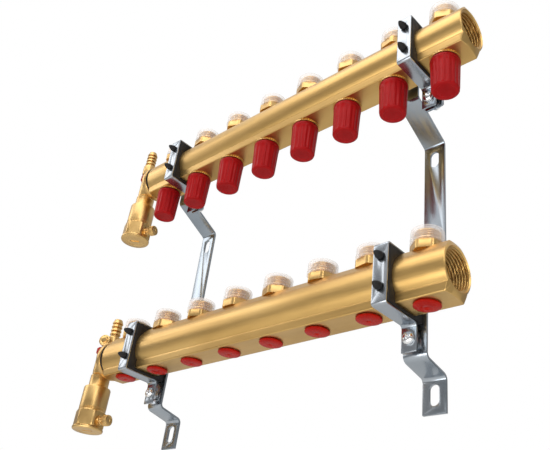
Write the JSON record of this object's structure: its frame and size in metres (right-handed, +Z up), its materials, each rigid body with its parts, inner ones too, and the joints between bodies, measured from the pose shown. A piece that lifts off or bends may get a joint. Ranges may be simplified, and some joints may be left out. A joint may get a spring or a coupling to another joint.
{
  "type": "underfloor heating manifold",
  "caption": "Two extruded brass bars on bent steel wall brackets, with threaded outlets, red valve caps, drain cocks and hanging air vents at one end.",
  "frame": {"origin": "on the wall plane that the bracket backs lie in, midway between the two brackets, level with the supply bar's axis", "axes": "+X along the bars to the open threaded ends, +Y into the wall, +Z up"},
  "size_m": [0.4632, 0.1, 0.3395],
  "materials": {
    "satin_brass": "extruded brass, satin, fine lines along the bar",
    "turned_brass": "turned and milled brass, semi-bright",
    "red_cap": "moulded red plastic, soft satin",
    "red_plug": "moulded red plastic, glossy",
    "zinc_steel": "bright zinc-plated steel sheet, bluish",
    "black_rubber": "matt black rubber",
    "clear_cap": "thin frosted clear plastic, faintly pink"
  },
  "bodies": {
    "frame": {"supply_bar": "satin_brass", "return_bar": "satin_brass", "bracket_left": "zinc_steel", "bracket_right": "zinc_steel", "clamp_strap_supply_left": "zinc_steel", "clamp_strap_supply_right": "zinc_steel", "clamp_strap_return_left": "zinc_steel", "clamp_strap_return_right": "zinc_steel", "clamp_liner_supply_left": "black_rubber", "clamp_liner_supply_right": "black_rubber", "clamp_liner_return_left": "black_rubber", "clamp_liner_return_right": "black_rubber", "clamp_bolt_supply_left": "zinc_steel", "clamp_bolt_supply_right": "zinc_steel", "clamp_bolt_return_left": "zinc_steel", "clamp_bolt_return_right": "zinc_steel", "end_piece_supply": "turned_brass", "end_piece_return": "turned_brass", "vent_body_supply": "turned_brass", "vent_body_return": "turned_brass"},
    "return_spindle_1": {"return_spindle_1": "turned_brass"},
    "return_cap_1": {"return_cap_1": "red_cap"},
    "return_spindle_2": {"return_spindle_2": "turned_brass"},
    "return_cap_2": {"return_cap_2": "red_cap"},
    "return_spindle_3": {"return_spindle_3": "turned_brass"},
    "return_cap_3": {"return_cap_3": "red_cap"},
    "return_spindle_4": {"return_spindle_4": "turned_brass"},
    "return_cap_4": {"return_cap_4": "red_cap"},
    "return_spindle_5": {"return_spindle_5": "turned_brass"},
    "return_cap_5": {"return_cap_5": "red_cap"},
    "return_spindle_6": {"return_spindle_6": "turned_brass"},
    "return_cap_6": {"return_cap_6": "red_cap"},
    "return_spindle_7": {"return_spindle_7": "turned_brass"},
    "return_cap_7": {"return_cap_7": "red_cap"},
    "return_spindle_8": {"return_spindle_8": "turned_brass"},
    "return_cap_8": {"return_cap_8": "red_cap"},
    "supply_spindle_1": {"supply_spindle_1": "turned_brass"},
    "supply_plug_1": {"supply_plug_1": "red_plug"},
    "supply_spindle_2": {"supply_spindle_2": "turned_brass"},
    "supply_plug_2": {"supply_plug_2": "red_plug"},
    "supply_spindle_3": {"supply_spindle_3": "turned_brass"},
    "supply_plug_3": {"supply_plug_3": "red_plug"},
    "supply_spindle_4": {"supply_spindle_4": "turned_brass"},
    "supply_plug_4": {"supply_plug_4": "red_plug"},
    "supply_spindle_5": {"supply_spindle_5": "turned_brass"},
    "supply_plug_5": {"supply_plug_5": "red_plug"},
    "supply_spindle_6": {"supply_spindle_6": "turned_brass"},
    "supply_plug_6": {"supply_plug_6": "red_plug"},
    "supply_spindle_7": {"supply_spindle_7": "turned_brass"},
    "supply_plug_7": {"supply_plug_7": "red_plug"},
    "supply_spindle_8": {"supply_spindle_8": "turned_brass"},
    "supply_plug_8": {"supply_plug_8": "red_plug"},
    "drain_elbow_supply": {"drain_elbow_supply": "turned_brass"},
    "drain_wheel_supply": {"drain_wheel_supply": "red_plug"},
    "drain_knob_supply": {"drain_knob_supply": "turned_brass"},
    "vent_cap_supply": {"vent_cap_supply": "turned_brass"},
    "drain_elbow_return": {"drain_elbow_return": "turned_brass"},
    "drain_wheel_return": {"drain_wheel_return": "red_plug"},
    "drain_knob_return": {"drain_knob_return": "turned_brass"},
    "vent_cap_return": {"vent_cap_return": "turned_brass"}
  },
  "joints": [
    {"name": "return_cap_1_turn", "type": "hinge", "parent": "return_spindle_1", "child": "return_cap_1", "pos_m": [-0.149, -0.069, 0.169], "axis": [0, 0, -1], "range_deg": [0, 720]},
    {"name": "return_spindle_1_slide", "type": "slide", "parent": "frame", "child": "return_spindle_1", "axis": [0, 0, -1], "range_m": [0, 0.003]},
    {"name": "return_cap_2_turn", "type": "hinge", "parent": "return_spindle_2", "child": "return_cap_2", "pos_m": [-0.099, -0.069, 0.169], "axis": [0, 0, -1], "range_deg": [0, 720]},
    {"name": "return_spindle_2_slide", "type": "slide", "parent": "frame", "child": "return_spindle_2", "axis": [0, 0, -1], "range_m": [0, 0.003]},
    {"name": "return_cap_3_turn", "type": "hinge", "parent": "return_spindle_3", "child": "return_cap_3", "pos_m": [-0.049, -0.069, 0.169], "axis": [0, 0, -1], "range_deg": [0, 720]},
    {"name": "return_spindle_3_slide", "type": "slide", "parent": "frame", "child": "return_spindle_3", "axis": [0, 0, -1], "range_m": [0, 0.003]},
    {"name": "return_cap_4_turn", "type": "hinge", "parent": "return_spindle_4", "child": "return_cap_4", "pos_m": [0.001, -0.069, 0.169], "axis": [0, 0, -1], "range_deg": [0, 720]},
    {"name": "return_spindle_4_slide", "type": "slide", "parent": "frame", "child": "return_spindle_4", "axis": [0, 0, -1], "range_m": [0, 0.003]},
    {"name": "return_cap_5_turn", "type": "hinge", "parent": "return_spindle_5", "child": "return_cap_5", "pos_m": [0.051, -0.069, 0.169], "axis": [0, 0, -1], "range_deg": [0, 720]},
    {"name": "return_spindle_5_slide", "type": "slide", "parent": "frame", "child": "return_spindle_5", "axis": [0, 0, -1], "range_m": [0, 0.003]},
    {"name": "return_cap_6_turn", "type": "hinge", "parent": "return_spindle_6", "child": "return_cap_6", "pos_m": [0.101, -0.069, 0.169], "axis": [0, 0, -1], "range_deg": [0, 720]},
    {"name": "return_spindle_6_slide", "type": "slide", "parent": "frame", "child": "return_spindle_6", "axis": [0, 0, -1], "range_m": [0, 0.003]},
    {"name": "return_cap_7_turn", "type": "hinge", "parent": "return_spindle_7", "child": "return_cap_7", "pos_m": [0.151, -0.069, 0.169], "axis": [0, 0, -1], "range_deg": [0, 720]},
    {"name": "return_spindle_7_slide", "type": "slide", "parent": "frame", "child": "return_spindle_7", "axis": [0, 0, -1], "range_m": [0, 0.003]},
    {"name": "return_cap_8_turn", "type": "hinge", "parent": "return_spindle_8", "child": "return_cap_8", "pos_m": [0.201, -0.069, 0.169], "axis": [0, 0, -1], "range_deg": [0, 720]},
    {"name": "return_spindle_8_slide", "type": "slide", "parent": "frame", "child": "return_spindle_8", "axis": [0, 0, -1], "range_m": [0, 0.003]},
    {"name": "supply_spindle_1_slide", "type": "slide", "parent": "frame", "child": "supply_spindle_1", "axis": [0, 0, -1], "range_m": [0, 0.003]},
    {"name": "supply_plug_1_slide", "type": "slide", "parent": "frame", "child": "supply_plug_1", "axis": [0, 0, -1], "range_m": [0, 0.03]},
    {"name": "supply_spindle_2_slide", "type": "slide", "parent": "frame", "child": "supply_spindle_2", "axis": [0, 0, -1], "range_m": [0, 0.003]},
    {"name": "supply_plug_2_slide", "type": "slide", "parent": "frame", "child": "supply_plug_2", "axis": [0, 0, -1], "range_m": [0, 0.03]},
    {"name": "supply_spindle_3_slide", "type": "slide", "parent": "frame", "child": "supply_spindle_3", "axis": [0, 0, -1], "range_m": [0, 0.003]},
    {"name": "supply_plug_3_slide", "type": "slide", "parent": "frame", "child": "supply_plug_3", "axis": [0, 0, -1], "range_m": [0, 0.03]},
    {"name": "supply_spindle_4_slide", "type": "slide", "parent": "frame", "child": "supply_spindle_4", "axis": [0, 0, -1], "range_m": [0, 0.003]},
    {"name": "supply_plug_4_slide", "type": "slide", "parent": "frame", "child": "supply_plug_4", "axis": [0, 0, -1], "range_m": [0, 0.03]},
    {"name": "supply_spindle_5_slide", "type": "slide", "parent": "frame", "child": "supply_spindle_5", "axis": [0, 0, -1], "range_m": [0, 0.003]},
    {"name": "supply_plug_5_slide", "type": "slide", "parent": "frame", "child": "supply_plug_5", "axis": [0, 0, -1], "range_m": [0, 0.03]},
    {"name": "supply_spindle_6_slide", "type": "slide", "parent": "frame", "child": "supply_spindle_6", "axis": [0, 0, -1], "range_m": [0, 0.003]},
    {"name": "supply_plug_6_slide", "type": "slide", "parent": "frame", "child": "supply_plug_6", "axis": [0, 0, -1], "range_m": [0, 0.03]},
    {"name": "supply_spindle_7_slide", "type": "slide", "parent": "frame", "child": "supply_spindle_7", "axis": [0, 0, -1], "range_m": [0, 0.003]},
    {"name": "supply_plug_7_slide", "type": "slide", "parent": "frame", "child": "supply_plug_7", "axis": [0, 0, -1], "range_m": [0, 0.03]},
    {"name": "supply_spindle_8_slide", "type": "slide", "parent": "frame", "child": "supply_spindle_8", "axis": [0, 0, -1], "range_m": [0, 0.003]},
    {"name": "supply_plug_8_slide", "type": "slide", "parent": "frame", "child": "supply_plug_8", "axis": [0, 0, -1], "range_m": [0, 0.03]},
    {"name": "drain_wheel_supply_turn", "type": "hinge", "parent": "frame", "child": "drain_wheel_supply", "pos_m": [-0.2215, -0.052, 0.0128], "axis": [0, 0, 1], "range_deg": [0, 360]},
    {"name": "drain_elbow_supply_swivel", "type": "hinge", "parent": "frame", "child": "drain_elbow_supply", "pos_m": [-0.2215, -0.052, 0.0222], "axis": [0, 0, 1], "range_deg": [-75, 15]},
    {"name": "drain_knob_supply_turn", "type": "hinge", "parent": "drain_elbow_supply", "child": "drain_knob_supply", "pos_m": [-0.2215, -0.052, 0.0222], "axis": [0.5, -0.866, 0], "range_deg": [0, 360]},
    {"name": "vent_cap_supply_turn", "type": "hinge", "parent": "frame", "child": "vent_cap_supply", "pos_m": [-0.2215, -0.052, -0.0615], "axis": [0.9659, 0.2588, 0], "range_deg": [0, 360]},
    {"name": "drain_wheel_return_turn", "type": "hinge", "parent": "frame", "child": "drain_wheel_return", "pos_m": [-0.1955, -0.069, 0.2198], "axis": [0, 0, 1], "range_deg": [0, 360]},
    {"name": "drain_elbow_return_swivel", "type": "hinge", "parent": "frame", "child": "drain_elbow_return", "pos_m": [-0.1955, -0.069, 0.2292], "axis": [0, 0, 1], "range_deg": [-60, 60]},
    {"name": "drain_knob_return_turn", "type": "hinge", "parent": "drain_elbow_return", "child": "drain_knob_return", "pos_m": [-0.1955, -0.069, 0.2292], "axis": [-0.9613, 0.2756, 0], "range_deg": [0, 360]},
    {"name": "vent_cap_return_turn", "type": "hinge", "parent": "frame", "child": "vent_cap_return", "pos_m": [-0.1955, -0.069, 0.1455], "axis": [0.9659, 0.2588, 0], "range_deg": [0, 360]}
  ],
  "couplings": [
    {"joint": "return_cap_1_turn", "follows": "return_spindle_1_slide", "rad_per_m": 4188.8},
    {"joint": "return_cap_2_turn", "follows": "return_spindle_2_slide", "rad_per_m": 4188.8},
    {"joint": "return_cap_3_turn", "follows": "return_spindle_3_slide", "rad_per_m": 4188.8},
    {"joint": "return_cap_4_turn", "follows": "return_spindle_4_slide", "rad_per_m": 4188.8},
    {"joint": "return_cap_5_turn", "follows": "return_spindle_5_slide", "rad_per_m": 4188.8},
    {"joint": "return_cap_6_turn", "follows": "return_spindle_6_slide", "rad_per_m": 4188.8},
    {"joint": "return_cap_7_turn", "follows": "return_spindle_7_slide", "rad_per_m": 4188.8},
    {"joint": "return_cap_8_turn", "follows": "return_spindle_8_slide", "rad_per_m": 4188.8}
  ]
}
